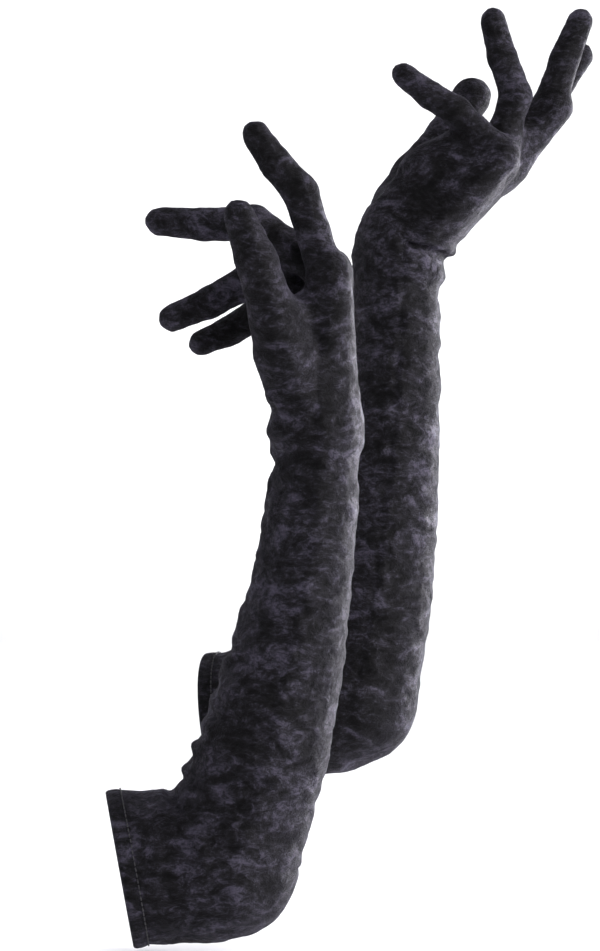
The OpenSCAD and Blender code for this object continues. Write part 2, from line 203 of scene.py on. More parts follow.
class Glove:
    """The skeleton of one glove, in millimetres."""

    def __init__(self, side):
        self.side = side
        mount = MOUNTS[side + "_cuff"]
        self.cuff = np.array(mount["pos_m"], float) / MM
        self.hem_axis = -unit(mount["axis"])
        self.elbow = joint_place(side + "_elbow")
        self.wrist = joint_place(side + "_wrist")
        thumb_joint = joint_place(side + "_thumb_bend")
        self.radial = float(np.sign(thumb_joint[1] - self.wrist[1]))
        self.knuckle, self.joint, self.tip = {}, {}, {}
        for name in FINGERS:
            self.joint[name] = joint_place(f"{side}_{name}_bend")
            x, z = KNUCKLES[side][name]
            self.knuckle[name] = self.wrist + (x, self.joint[name][1] - self.wrist[1], z)
            end = far_centre(f"{side}_{name}_tip", self.joint[name])
            reach = np.array(TIP_REACH.get(f"{side}_{name}", (0, 0, 0)), float)
            shrink = unit(end - self.joint[name]) * FINGER_R[name] * TIP_SHARE
            self.tip[name] = end + reach - shrink
        self.joint["thumb"] = thumb_joint
        end = far_centre(side + "_thumb_tip", thumb_joint)
        reach = np.array(TIP_REACH.get(side + "_thumb", (0, 0, 0)), float)
        self.tip["thumb"] = end + reach - unit(end - thumb_joint) * THUMB_TIP_R[side]
        self.thumb_roots = [
            self.wrist + (x, self.radial * y, z) for x, y, z in THUMB_ROOTS[side]
        ]
        mean_knuckle = np.mean([self.knuckle[f] for f in FINGERS], axis=0)
        self.along = unit((mean_knuckle - self.wrist) * (1, 0, 1))
        self.palmward = np.cross((0, -1, 0), self.along)
        bow_x, bow_z = FOREARM_BOW[side]
        self.bow = np.array((bow_x, self.elbow[1], bow_z), float)

        steps = np.linspace(0, 1, 9)
        line = np.array([self.forearm_point(t) for t in steps])
        self.forearm_line = line
        self.forearm_run = float(np.linalg.norm(np.diff(line, axis=0), axis=1).sum())

    def bones(self):
        """(label, start, end, radius, distance along the glove, direction toward the back)."""
        def back_of(a, b):
            return unit(-np.cross((0, -1, 0), unit(b - a)))
        found = []
        sleeve_run = float(np.linalg.norm(self.elbow - self.cuff))
        far = self.cuff - unit(self.elbow - self.cuff) * 24
        found.append((0, far, self.elbow, 39.0, -24.0, back_of(far, self.elbow)))
        run = sleeve_run
        for i, (a, b) in enumerate(zip(self.forearm_line[:-1], self.forearm_line[1:])):
            found.append((1, a, b, 37.0 - 1.9 * i, run, back_of(a, b)))
            run += float(np.linalg.norm(b - a))
        for name in FINGERS:
            base = self.wrist + UP * (self.knuckle[name][1] - self.wrist[1]) * 0.4
            found.append((2, base, self.knuckle[name], 13.0, run, back_of(base, self.knuckle[name])))
        run += 75.0
        for number, name in enumerate(FINGERS):
            chain = (self.knuckle[name], self.joint[name], self.tip[name])
            along = run
            for a, b in zip(chain[:-1], chain[1:]):
                found.append((3 + number, a, b, 9.0, along, back_of(a, b)))
                along += float(np.linalg.norm(b - a))
        chain = (*self.thumb_roots, self.joint["thumb"], self.tip["thumb"])
        along = run
        for a, b in zip(chain[:-1], chain[1:]):
            found.append((7, a, b, 11.0, along, back_of(a, b)))
            along += float(np.linalg.norm(b - a))
        return found

    def hand_point(self, palm, radial, along):
        """A point measured from the wrist: toward the palm, toward the thumb's side, along the hand."""
        return (self.wrist + self.palmward * palm + UP * self.radial * radial
                + self.along * along)

    def forearm_point(self, t):
        return ((1 - t) ** 2 * self.elbow + 2 * t * (1 - t) * self.bow + t * t * self.wrist)

    def forearm_way(self, t):
        return unit((1 - t) * (self.bow - self.elbow) + t * (self.wrist - self.bow))


# ---- fields of distances
def smooth_min(a, b, k):
    h = np.clip(0.5 + 0.5 * (b - a) / k, 0, 1)
    return b + (a - b) * h - k * h * (1 - h)


class Field:
    """A box of grid points around one glove, and distance formulas on it."""

    def __init__(self, low, high, step):
        self.low = np.array(low, float)
        self.step = step
        self.count = np.ceil((np.array(high) - self.low) / step).astype(int)
        x, y, z = (self.low[i] + step * np.arange(self.count[i]) for i in range(3))
        self.axes = (x, y, z)
        self.value = np.full(tuple(self.count), 40.0, np.float32)

    def window(self, points, reach):
        """The part of the grid within reach of some points, and its coordinates."""
        points = np.array(points)
        first = np.floor((points.min(0) - reach - self.low) / self.step).astype(int)
        last = np.ceil((points.max(0) + reach - self.low) / self.step).astype(int)
        first = np.clip(first, 0, self.count - 1)
        last = np.clip(last, first + 1, self.count)
        cut = tuple(slice(a, b) for a, b in zip(first, last))
        x, y, z = (self.axes[i][cut[i]].astype(np.float32) for i in range(3))
        return cut, (x[:, None, None], y[None, :, None], z[None, None, :])


def cone(at, a, b, ra, rb, narrow=1.0):
    """Distance to a round-ended cone from a to b, narrower along Y by a share."""
    x, y, z = at
    middle = (a[1] + b[1]) / 2
    y = middle + (y - middle) * narrow
    a = np.array((a[0], middle + (a[1] - middle) * narrow, a[2]))
    b = np.array((b[0], middle + (b[1] - middle) * narrow, b[2]))
    d = b - a
    t = ((x - a[0]) * d[0] + (y - a[1]) * d[1] + (z - a[2]) * d[2]) / (d @ d)
    t = np.clip(t, 0, 1)
    gap = (x - a[0] - t * d[0]) ** 2 + (y - a[1] - t * d[1]) ** 2 + (z - a[2] - t * d[2]) ** 2
    return np.sqrt(gap) - (ra + t * (rb - ra))


def limb(at, stations):
    """Distance to a limb of elliptical section, whose centre line runs through stations of (point, half
    thickness, half width) and keeps near a plane of constant Y."""
    x, y, z = at
    best = None
    for (p, pa, pb), (q, qa, qb) in zip(stations[:-1], stations[1:]):
        dx, dz = q[0] - p[0], q[2] - p[2]
        t = np.clip(((x - p[0]) * dx + (z - p[2]) * dz) / (dx * dx + dz * dz), 0, 1)
        away = np.sqrt((x - p[0] - t * dx) ** 2 + (z - p[2] - t * dz) ** 2)
        thick, wide = pa + t * (qa - pa), pb + t * (qb - pb)
        middle = p[1] + t * (q[1] - p[1])
        part = (away / thick, away, thick, wide, middle)
        if best is None:
            best = part
        else:
            nearer = part[0] < best[0]
            best = tuple(np.where(nearer, n, o) for n, o in zip(part, best))
    _, away, thick, wide, middle = best
    off = y - middle
    share = np.sqrt((away / thick) ** 2 + (off / wide) ** 2)
    slope = np.sqrt((away / thick ** 2) ** 2 + (off / wide ** 2) ** 2) + 1e-6
    return (share - 1) * share / slope


def arm_stations(glove):
    far = glove.cuff - glove.hem_axis * 22
    shoulder = unit(glove.elbow - glove.cuff)
    sleeve = [
        (far, SLEEVE_R, SLEEVE_R), (glove.cuff, SLEEVE_R, SLEEVE_R),
        (glove.elbow - shoulder * 16, 38.5, 38.0), (glove.elbow, ELBOW_R, 36.0),
    ]
    extra = WRIST_EXTRA[glove.side]
    forearm = []
    for t, thick, wide in FOREARM_STATIONS:
        back = -np.cross((0, -1, 0), glove.forearm_way(t))
        low_lift, high_lift = FOREARM_BACK_LIFT[glove.side]
        lift = np.interp(t, (0, 0.33, 0.5, 1), (0, low_lift, low_lift, high_lift))
        forearm.append((glove.forearm_point(t) + back * lift, thick + extra * t, wide))
    return sleeve, forearm


def digit_cones(glove, name):
    """The round cones of one finger or thumb, from its root to its tip, with a slight bow outward."""
    joint, tip = glove.joint[name], glove.tip[name]
    if name == "thumb":
        a, b = glove.thumb_roots
        end = THUMB_TIP_R[glove.side]
        return [(a, b, 13.2, 12.2), (b, joint, 12.2, 10.6), (joint, tip, 10.8, end)]
    r = FINGER_R[name]
    root = glove.knuckle[name]
    way = unit(tip - joint)
    back = -np.cross((0, -1, 0), way)
    last = joint + (tip - joint) * 0.52 - back * 1.1
    middle = root + (joint - root) * 0.5
    return [
        (root, middle, r * 1.06, r * 0.98), (middle, joint, r * 0.98, r * 1.03),
        (joint, last, r * 1.03, r * 0.93), (last, tip, r * 0.93, r * TIP_SHARE),
    ]


def palm_cones(glove):
    cones = []
    for name in FINGERS:
        knuckle = glove.knuckle[name]
        spread = (knuckle[1] - glove.wrist[1]) * 0.36
        low_lift, high_lift = BACK_LIFT[glove.side]
        base = (glove.wrist + UP * spread + glove.along * 2 - glove.palmward * low_lift)
        end = METACARPAL_R[1] - (0.8 if name in ("index", "little") else 0)
        cones.append((base, knuckle - glove.palmward * high_lift, METACARPAL_R[0], end))
    cones.append((glove.hand_point(7 + HEEL_LIFT[glove.side], 13, 8), glove.thumb_roots[0],
                  16.5, 14.5))
    for start, end, first, last in PALM_PADS[glove.side]:
        cones.append((glove.hand_point(*start), glove.hand_point(*end), first, last))
    cones.append((glove.thumb_roots[1], glove.hand_point(4, 21, 62), 9.5, 9.0))
    return cones + knuckle_webs(glove)


def knuckle_webs(glove):
    """Cloth between the roots of ring and middle finger, and over the spread left hand's knuckles."""
    share, radius = WEB[glove.side]
    ring = glove.knuckle["ring"] + share * (glove.joint["ring"] - glove.knuckle["ring"])
    middle = glove.knuckle["middle"] + share * (glove.joint["middle"] - glove.knuckle["middle"])
    cones = [(ring, middle, radius, radius)]
    if glove.side == "left":
        back = -glove.palmward
        for name in ("middle", "index"):
            cones.append((glove.knuckle[name] + back * 5, glove.joint[name] + back * 5.5, 9.0, 8.6))
    return cones


def glove_field(glove):
    sleeve, forearm = arm_stations(glove)
    marks = [p for p, _, _ in sleeve + forearm] + list(glove.tip.values())
    marks += list(glove.joint.values())
    low, high = np.min(marks, axis=0), np.max(marks, axis=0)
    field = Field(low - (12, 48, 48), high + (46, 48, 16), GRID_STEP)
    cut, at = field.window([p for p, _, _ in sleeve + forearm], 62)
    arm = smooth_min(limb(at, sleeve), limb(at, forearm), 12)
    field.value[cut] = np.minimum(field.value[cut], arm)
    palm = palm_cones(glove)
    cut, at = field.window([c[0] for c in palm] + [c[1] for c in palm], 30)
    hand = None
    for a, b, ra, rb in palm:
        part = cone(at, a, b, ra, rb)
        hand = part if hand is None else smooth_min(hand, part, 9)
    field.value[cut] = smooth_min(field.value[cut], hand, 9)
    trunk = field.value.copy()
    for name in FINGERS + ("thumb",):
        cones = digit_cones(glove, name)
        cut, at = field.window([c[0] for c in cones] + [c[1] for c in cones], 24)
        digit = None
        for a, b, ra, rb in cones:
            part = cone(at, a, b, ra, rb, 1.0 if name == "thumb" else FINGER_NARROW)
            digit = part if digit is None else smooth_min(digit, part, 2.5)
        a, b, _, rb = cones[-1]
        nub = b + unit(b - a) * (rb - 0.9)
        digit = smooth_min(digit, cone(at, nub, nub + unit(b - a) * 0.5, 1.9, 1.6), 1.6)
        joined = smooth_min(trunk[cut], digit, 8 if name == "thumb" else 6)
        field.value[cut] = np.minimum(field.value[cut], joined)
    for roll in WRIST_ROLLS.get(glove.side, ()):
        cut, fold = cone_chain(field, glove, roll)
        field.value[cut] = smooth_min(field.value[cut], fold, 2.2)
    for crease in WRIST_CREASES.get(glove.side, ()):
        cut, groove = cone_chain(field, glove, crease)
        field.value[cut] = -smooth_min(-field.value[cut], groove, 1.4)
    return field


def cone_chain(field, glove, chain):
    """A chain of round cones given from the wrist, and the part of the field it lies in."""
    marks = [(glove.wrist + (x, glove.radial * y, z), r) for x, y, z, r in chain]
    cut, at = field.window([place for place, _ in marks], 24)
    joined = None
    for (a, ra), (b, rb) in zip(marks[:-1], marks[1:]):
        part = cone(at, a, b, ra, rb)
        joined = part if joined is None else smooth_min(joined, part, 2)
    return cut, joined


def surface(values, low, step):
    """Points and faces, quads and triangles, of the surface where values are zero."""
    grid = openvdb.FloatGrid(background=float(values.max()))
    grid.copyFromArray(np.ascontiguousarray(values, np.float32), tolerance=0.0)
    points, triangles, quads = grid.convertToPolygons(isovalue=0.0, adaptivity=0.0)
    points = np.array(points, float) * step + low
    faces = [tuple(int(i) for i in f) for f in quads]
    faces += [tuple(int(i) for i in f) for f in triangles]
    return points, faces


def edges_of(faces):
    pairs = np.array([
        (f[i], f[(i + 1) % len(f)]) for f in faces for i in range(len(f))
    ])
    return np.unique(np.sort(pairs, axis=1), axis=0)


def neighbour_mean(values, edges, counts):
    total = np.zeros_like(values)
    np.add.at(total, edges[:, 0], values[edges[:, 1]])
    np.add.at(total, edges[:, 1], values[edges[:, 0]])
    return total / counts[:, None]


def smoothed(points, edges, rounds, share=0.5):
    counts = np.bincount(edges.ravel(), minlength=len(points)).astype(float)
    counts[counts == 0] = 1
    for _ in range(rounds):
        points = points + share * (neighbour_mean(points, edges, counts) - points)
    return points


def point_normals(points, faces):
    normals = np.zeros_like(points)
    quads = np.array([f for f in faces if len(f) == 4])
    triangles = np.array([f for f in faces if len(f) == 3]).reshape(-1, 3)
    n = np.cross(points[quads[:, 2]] - points[quads[:, 0]],
                 points[quads[:, 3]] - points[quads[:, 1]])
    for i in range(4):
        np.add.at(normals, quads[:, i], n)
    if len(triangles):
        n = np.cross(points[triangles[:, 1]] - points[triangles[:, 0]],
                     points[triangles[:, 2]] - points[triangles[:, 0]])
        for i in range(3):
            np.add.at(normals, triangles[:, i], n)
    length = np.linalg.norm(normals, axis=1, keepdims=True)
    return normals / np.maximum(length, 1e-9)


# ---- where each point of a glove is
class Places:
    """For points of a glove: the nearest bone, how far along the glove, and the offset toward the back."""

    def __init__(self, glove, points):
        bones = glove.bones()
        best = np.full(len(points), 1e9)
        self.label = np.zeros(len(points), int)
        self.run = np.zeros(len(points))
        self.back = np.zeros(len(points))
        for label, a, b, radius, start, back in bones:
            d = b - a
            t = np.clip(((points - a) @ d) / (d @ d), 0, 1)
            off = points - a - t[:, None] * d
            away = np.linalg.norm(off, axis=1) / radius
            nearer = away < best
            best[nearer] = away[nearer]
            self.label[nearer] = label
            self.run[nearer] = (start + t * np.linalg.norm(d))[nearer]
            self.back[nearer] = (off @ back)[nearer]


# ---- wrinkles
def ridge(points, heights, centre, way, width, reach, height):
    """Adds one soft ridge across the limb: it runs square to way, and fades with distance from centre."""
    off = points - centre
    near = np.einsum("ij,ij->i", off, off) < (2.2 * reach) ** 2
    off = off[near]
    across = (off @ way) / width
    fade = np.exp(-np.einsum("ij,ij->i", off, off) / reach ** 2)
    heights[near] += height * (np.exp(-across ** 2) - 0.35 * np.exp(-(across / 2) ** 2)) * fade


def arm_frame(glove, run):
    """Centre, direction, direction toward the back, and radius, at a distance along the arm."""
    sleeve_run = np.linalg.norm(glove.elbow - glove.cuff)
    if run < sleeve_run:
        share = run / sleeve_run
        centre = glove.cuff + (glove.elbow - glove.cuff) * share
        way = unit(glove.elbow - glove.cuff)
        radius = SLEEVE_R + (ELBOW_R - SLEEVE_R) * share
    elif run < sleeve_run + glove.forearm_run:
        t = (run - sleeve_run) / glove.forearm_run
        centre = glove.forearm_point(t)
        way = glove.forearm_way(t)
        radius = float(np.interp(t, [s[0] for s in FOREARM_STATIONS],
                                 [s[1] for s in FOREARM_STATIONS]))
    else:
        centre = glove.wrist + glove.along * (run - sleeve_run - glove.forearm_run)
        way = glove.along
        radius = 21.0
    return centre, way, -np.cross((0, -1, 0), way), radius


def wrinkle_heights(glove, points):
    """Heights of the listed and the scattered folds, in millimetres along the normals."""
    draw = np.random.default_rng(WRINKLE_SEED[glove.side])
    heights = np.zeros(len(points))
    sleeve_run = np.linalg.norm(glove.elbow - glove.cuff)
    wrist_run = sleeve_run + glove.forearm_run
    for _ in range(WRINKLE_COUNT):
        run = draw.uniform(12, wrist_run + 62)
        centre, way, back, radius = arm_frame(glove, run)
        turn = draw.uniform(-math.pi, math.pi)
        spot = centre + radius * (back * math.cos(turn) + UP * math.sin(turn))
        way = unit(way + draw.normal(0, 0.16) * back + draw.normal(0, 0.22) * UP)
        size = draw.uniform(0.5, 1.0)
        hand = 0.6 if run > wrist_run + 12 else 1.0
        inner = 0.75 - 0.25 * math.cos(turn)
        ridge(points, heights, spot, way, draw.uniform(2.8, 5.6) * (0.7 + 0.3 * hand),
              draw.uniform(12, 26) * hand, WRINKLE_HEIGHT * size * hand * inner)
    inside = sleeve_run + np.linspace(-34, 96, 12)
    for run in inside:
        centre, way, back, radius = arm_frame(glove, run)
        turn = math.pi + draw.normal(0, 0.35)
        spot = centre + radius * (back * math.cos(turn) + UP * math.sin(turn))
        way = unit(way + draw.normal(0, 0.12) * UP)
        ridge(points, heights, spot, way, draw.uniform(3.2, 4.6), draw.uniform(18, 28),
              2.9 * math.exp(-((run - sleeve_run - 14) / 62) ** 2) + 0.5)
    for along, side, width, reach, height in WRIST_FOLDS[glove.side]:
        centre, way, back, radius = arm_frame(glove, wrist_run + along)
        spot = centre + back * radius * side
        way = unit(way + 0.12 * UP)
        ridge(points, heights, spot, way, width, reach, height)
    return heights


def seam_heights(places):
    """A shallow groove along the side seams of the arm, the hand and every finger, and its puckers."""
    digit = places.label >= 3
    width = np.where(digit, 0.9, 1.2)
    groove = -np.where(digit, 0.45, 0.75) * np.exp(-(places.back / width) ** 2)
    beat = np.sin(places.run * 0.72 + 2.4 * np.sin(places.run * 0.13))
    pucker = 0.2 * beat * np.exp(-(places.back / 5.0) ** 2)
    return groove + np.where(digit, 0.45, 1.0) * pucker


def crush_heights(points):
    """Small lumps of crushed pile."""
    values = np.array([
        noise.noise(Vector(p * 0.16)) + 0.6 * noise.noise(Vector(p * 0.37)) for p in points
    ])
    return 0.42 * values


def lengthened(glove, points, normals, places):
    """The points with the arm's cloth cut longer than the arm, so that it has to gather into folds."""
    runs = np.arange(-30, 460, 4.0)
    sleeve_run = np.linalg.norm(glove.elbow - glove.cuff)
    wrist_run = sleeve_run + glove.forearm_run
    moved = [np.zeros(3)]
    for run in runs[1:]:
        _, way, _, _ = arm_frame(glove, min(max(run, 0), wrist_run + 80))
        share = np.interp(run, [0, 14, sleeve_run, sleeve_run + 40, wrist_run - 60, wrist_run + 6,
                                wrist_run + 30, wrist_run + 90],
                          CLOTH_SPARE)
        moved.append(moved[-1] + way * share * 4.0)
    moved = np.array(moved)
    shift = np.stack([np.interp(places.run, runs, moved[:, i]) for i in range(3)], axis=1)
    uneven = np.array([noise.noise(Vector(p * CLOTH_UNEVEN_SCALE)) for p in points])
    return points + shift + normals * (uneven * CLOTH_UNEVEN)[:, None]


def gathered(gloves, shells):
    """Runs one cloth simulation of both gloves on coarse meshes and returns how far each point moved."""
    points = np.concatenate([s[0] for s in shells])
    faces, base = [], 0
    for s in shells:
        faces += [tuple(i + base for i in f) for f in s[1]]
        base += len(s[0])
    longer, pins = [], []
    for glove, shell in zip(gloves, shells):
        places = Places(glove, shell[0])
        longer.append(lengthened(glove, shell[0], point_normals(*shell), places))
        sleeve_run = np.linalg.norm(glove.elbow - glove.cuff)
        wrist_run = sleeve_run + glove.forearm_run
        pin = np.interp(places.run, [10, 16, wrist_run + 20, wrist_run + 55],
                        [1.0, CLOTH_HOLD, CLOTH_HOLD, 1.0])
        pin[places.label >= 3] = 1.0
        pins.append(pin)
    longer, pins = np.concatenate(longer), np.concatenate(pins)
    mesh = bpy.data.meshes.new("cloth")
    mesh.from_pydata((longer * MM * CLOTH_SCALE).tolist(), [], faces)
    cloth = bpy.data.objects.new("cloth", mesh)
    bpy.context.scene.collection.objects.link(cloth)
    cloth.shape_key_add(name="cut")
    key = cloth.shape_key_add(name="arm")
    key.data.foreach_set("co", (points * MM * CLOTH_SCALE).astype(np.float32).ravel())
    key.value = 0.0
    key.keyframe_insert("value", frame=1)
    key.value = 1.0
    key.keyframe_insert("value", frame=CLOTH_FRAMES // 2)
    group = cloth.vertex_groups.new(name="pins")
    for level in np.unique(np.round(pins, 2)):
        members = np.nonzero(np.abs(pins - level) < 0.006)[0]
        group.add([int(i) for i in members], float(level), "REPLACE")
    settings = cloth.modifiers.new("Cloth", "CLOTH").settings
    settings.quality = 4
    settings.mass = 0.3
    settings.tension_stiffness = 20
    settings.compression_stiffness = 20
    settings.shear_stiffness = 4
    settings.bending_stiffness = 3.0
    settings.air_damping = 4
    settings.vertex_group_mass = "pins"
    settings.pin_stiffness = CLOTH_PIN
    settings.effector_weights.gravity = 0.0
    scene = bpy.context.scene
    for number in range(1, CLOTH_FRAMES + 1):
        scene.frame_set(number)
    graph = bpy.context.evaluated_depsgraph_get()
    made = cloth.evaluated_get(graph)
    after = np.zeros(len(points) * 3, np.float32)
    made.data.vertices.foreach_get("co", after)
    moved = after.reshape(-1, 3) / (MM * CLOTH_SCALE) - points
    scene.frame_set(1)
    bpy.data.objects.remove(cloth)
    parts, base = [], 0
    for s in shells:
        parts.append(moved[base:base + len(s[0])])
        base += len(s[0])
    return parts


def local_part(moved, places):
    """What is left of the movement once the drift of each slice of the arm is taken away, capped."""
    slices = np.round(places.run / 6).astype(int)
    slices = slices - slices.min()
    counts = np.maximum(np.bincount(slices), 1)
    drift = np.stack([np.bincount(slices, moved[:, i]) / counts for i in range(3)], axis=1)
    soft = drift.copy()
    for _ in range(3):
        soft[1:-1] = (soft[:-2] + 2 * soft[1:-1] + soft[2:]) / 4
    moved = moved - soft[slices]
    length = np.linalg.norm(moved, axis=1, keepdims=True)
    return moved * np.minimum(1, CLOTH_CAP / np.maximum(length, 1e-6))


def calm_share(glove, points, places):
    """How much of the gathering stays: the stretched cloth at the back of the arm and on the point of the
    elbow lies nearly smooth."""
    share = np.interp(places.back, [-18, 22], [1.0, BACK_CALM])
    outward = unit(unit(glove.elbow - glove.cuff) - glove.forearm_way(0))
    off = points - glove.elbow
    point = np.clip(off @ outward / 22, 0, 1) * np.exp(-np.einsum("ij,ij->i", off, off) / 52 ** 2)
    return share * (1 - 0.9 * np.clip(1.6 * point, 0, 1))


# ---- materials
class Nodes:
    """Short ways to add and join shader nodes."""

    def __init__(self, name, colour, roughness):
        self.material = bpy.data.materials.new(name)
        self.material.use_nodes = True
        self.tree = self.material.node_tree
        self.shader = self.tree.nodes["Principled BSDF"]
        self.set(self.shader, "Base Color", (*colour, 1))
        self.set(self.shader, "Roughness", roughness)
        self.place = self.tree.nodes.new("ShaderNodeTexCoord").outputs["Object"]

    def set(self, node, socket, value):
        node.inputs[socket].default_value = value

    def link(self, source, node, socket):
        self.tree.links.new(source, node.inputs[socket])

    def noise(self, scale, detail=3.0, rough=0.55, place=None, distortion=0.0):
        node = self.tree.nodes.new("ShaderNodeTexNoise")
        self.set(node, "Scale", scale)
        self.set(node, "Detail", detail)
        self.set(node, "Roughness", rough)
        self.set(node, "Distortion", distortion)
        self.link(place or self.place, node, "Vector")
        return node.outputs["Fac"]

    def stretched(self, scale, place=None):
        node = self.tree.nodes.new("ShaderNodeMapping")
        self.set(node, "Scale", scale)
        self.link(place or self.place, node, "Vector")
        return node.outputs["Vector"]

    def wave(self, scale, direction="X", place=None, distortion=0.0):
        node = self.tree.nodes.new("ShaderNodeTexWave")
        node.bands_direction = direction
        self.set(node, "Scale", scale)
        self.set(node, "Distortion", distortion)
        self.link(place or self.place, node, "Vector")
        return node.outputs["Fac"]

    def ramp(self, source, stops):
        node = self.tree.nodes.new("ShaderNodeValToRGB")
        elements = node.color_ramp.elements
        while len(elements) < len(stops):
            elements.new(0.5)
        for element, (place, colour) in zip(elements, stops):
            element.position = place
            element.color = (*colour, 1) if hasattr(colour, "__len__") else (colour,) * 3 + (1,)
        self.link(source, node, "Fac")
        return node.outputs["Color"]

    def math(self, kind, a, b):
        node = self.tree.nodes.new("ShaderNodeMath")
        node.operation = kind
        for i, value in enumerate((a, b)):
            if isinstance(value, (int, float)):
                node.inputs[i].default_value = value
            else:
                self.tree.links.new(value, node.inputs[i])
        return node.outputs[0]

    def mix(self, factor, a, b, kind="MIX"):
        node = self.tree.nodes.new("ShaderNodeMix")
        node.data_type = "RGBA"
        node.blend_type = kind
        self.link(factor, node, "Factor") if not isinstance(factor, float) else self.set(
            node, "Factor", factor)
        for socket, value in (("A", a), ("B", b)):
            sockets = [i for i in node.inputs if i.name == socket and i.type == "RGBA"]
            if hasattr(value, "__len__"):
                sockets[0].default_value = (*value, 1)
            else:
                self.tree.links.new(value, sockets[0])
        return [o for o in node.outputs if o.type == "RGBA"][0]

    def bump(self, height, strength, distance, normal=None):
        node = self.tree.nodes.new("ShaderNodeBump")
        self.set(node, "Strength", strength)
        self.set(node, "Distance", distance)
        self.link(height, node, "Height")
        if normal is not None:
            self.link(normal, node, "Normal")
        return node.outputs["Normal"]

    def colour(self, source):
        self.link(source, self.shader, "Base Color")

    def roughness(self, source):
        self.link(source, self.shader, "Roughness")

    def normal(self, source):
        self.link(source, self.shader, "Normal")


def velvet_material():
    """Crushed velvet: pile pushed over in patches. The black base colour carries lighter violet-grey patches of
    painted sheen where the pile would catch the light; the bump and roughness follow the same crush.
    """
    n = Nodes("crushed_velvet", (0.012, 0.011, 0.015), 0.8)
    patches = n.noise(40, 8.0, 0.74, n.stretched((1, 1, 1.8)), 0.8)
    small = n.noise(170, 6.0, 0.78, n.stretched((1, 1, 1.5)), 0.5)
    pile = n.noise(1300, 2.0, 0.6)
    crush = n.math("ADD", n.math("MULTIPLY", patches, 0.54), n.math("MULTIPLY", small, 0.46))
    # Painted sheen: the lighter violet-grey stops of this ramp stand in for light caught by the crushed pile; the
    # darkest stops are the velvet's own black.
    painted_sheen_tone = n.ramp(crush, [(0.43, (0.0010, 0.0010, 0.0012)), (0.485, (0.0045, 0.0043, 0.0054)),
                          (0.53, (0.0140, 0.0128, 0.0180)), (0.60, (0.050, 0.0450, 0.067))])
    fibre = n.ramp(pile, [(0.30, 0.5), (0.75, 1.0)])
    n.colour(n.mix(1.0, painted_sheen_tone, fibre, "MULTIPLY"))
    n.roughness(n.ramp(crush, [(0.40, 0.95), (0.66, 0.6)]))
    first = n.bump(crush, 1.0, 0.0035)
    n.normal(n.bump(pile, 0.5, 0.0004, first))
    n.set(n.shader, "Sheen Weight", 0.055)
    n.set(n.shader, "Sheen Roughness", 0.3)
    n.set(n.shader, "Sheen Tint", (0.56, 0.50, 0.78, 1))
    n.set(n.shader, "Specular IOR Level", 0.12)
    return n.material


def lining_material():
    """The knitted ground of the velvet, seen inside the cuff."""
    n = Nodes("knitted_ground", (0.02, 0.018, 0.022), 0.85)
    ribs = n.wave(420, "X", None, 1.5)
    rows = n.wave(380, "Z", None, 1.5)
    worn = n.noise(60, 3.0)
    n.colour(n.ramp(worn, [(0.35, (0.012, 0.011, 0.014)), (0.7, (0.03, 0.027, 0.035))]))
    n.roughness(n.ramp(worn, [(0.3, 0.92), (0.7, 0.75)]))
    n.normal(n.bump(n.math("ADD", ribs, rows), 0.5, 0.0004))
    n.set(n.shader, "Sheen Weight", 0.1)
    return n.material


def elastic_material():
    n = Nodes("ribbed_elastic", (0.014, 0.014, 0.016), 0.6)
    ribs = n.wave(330, "X")
    dust = n.noise(300, 3.0)
    n.colour(n.ramp(dust, [(0.3, (0.010, 0.010, 0.012)), (0.7, (0.026, 0.025, 0.029))]))
    n.roughness(n.ramp(ribs, [(0.2, 0.5), (0.8, 0.72)]))
    n.normal(n.bump(n.math("ADD", ribs, dust), 0.6, 0.0003))
    return n.material


def thread_material():
    n = Nodes("black_thread", (0.012, 0.012, 0.014), 0.45)
    twist = n.wave(900, "DIAGONAL")
    fluff = n.noise(900, 2.0)
    n.colour(n.ramp(fluff, [(0.3, (0.007, 0.007, 0.008)), (0.8, (0.024, 0.023, 0.027))]))
    n.roughness(n.ramp(fluff, [(0.3, 0.4), (0.8, 0.6)]))
    n.normal(n.bump(twist, 0.6, 0.0002))
    return n.material


# ---- pieces
def new_object(name, points, faces, materials):
    mesh = bpy.data.meshes.new(name)
    mesh.from_pydata((np.asarray(points) * MM).tolist(), [], faces)
    for material in materials:
        mesh.materials.append(material)
    piece = bpy.data.objects.new(name, mesh)
    bpy.context.scene.collection.objects.link(piece)
    return piece


def cloth_piece(name, points, normals, faces, materials):
    """One closed piece of cloth: the faces given, the same faces CLOTH_T deeper, and the rim between."""
    used = np.unique(np.concatenate([np.array(f) for f in faces]))
    index = np.full(len(points), -1)
    index[used] = np.arange(len(used))
    outer = [tuple(int(index[i]) for i in f) for f in faces]
    count = len(used)
    inner = [tuple(i + count for i in reversed(f)) for f in outer]
    seen = {}
    for f in outer:
        for i in range(len(f)):
            a, b = f[i], f[(i + 1) % len(f)]
            seen[(a, b)] = True
    rim = [(b, a, a + count, b + count) for a, b in seen if (b, a) not in seen]
    p, n = points[used], normals[used]
    both = np.concatenate([p, p - n * CLOTH_T])
    piece = new_object(name, both, outer + inner + rim, materials)
    mesh = piece.data
    material = np.zeros(len(mesh.polygons), np.int32)
    material[len(outer):] = 1
    mesh.polygons.foreach_set("material_index", material)
    mesh.shade_smooth()
    corners = np.zeros(len(mesh.loops), np.int32)
    mesh.loops.foreach_get("vertex_index", corners)
    vertex_normals = np.concatenate([n, -n])
    corner_normals = vertex_normals[corners]
    start = sum(len(f) for f in outer + inner)
    flat = np.zeros(len(mesh.polygons) * 3, np.float32)
    mesh.polygons.foreach_get("normal", flat)
    flat = flat.reshape(-1, 3)[len(outer) + len(inner):]
    corner_normals[start:] = np.repeat(flat, 4, axis=0)
    mesh.normals_split_custom_set(corner_normals.tolist())
    return piece


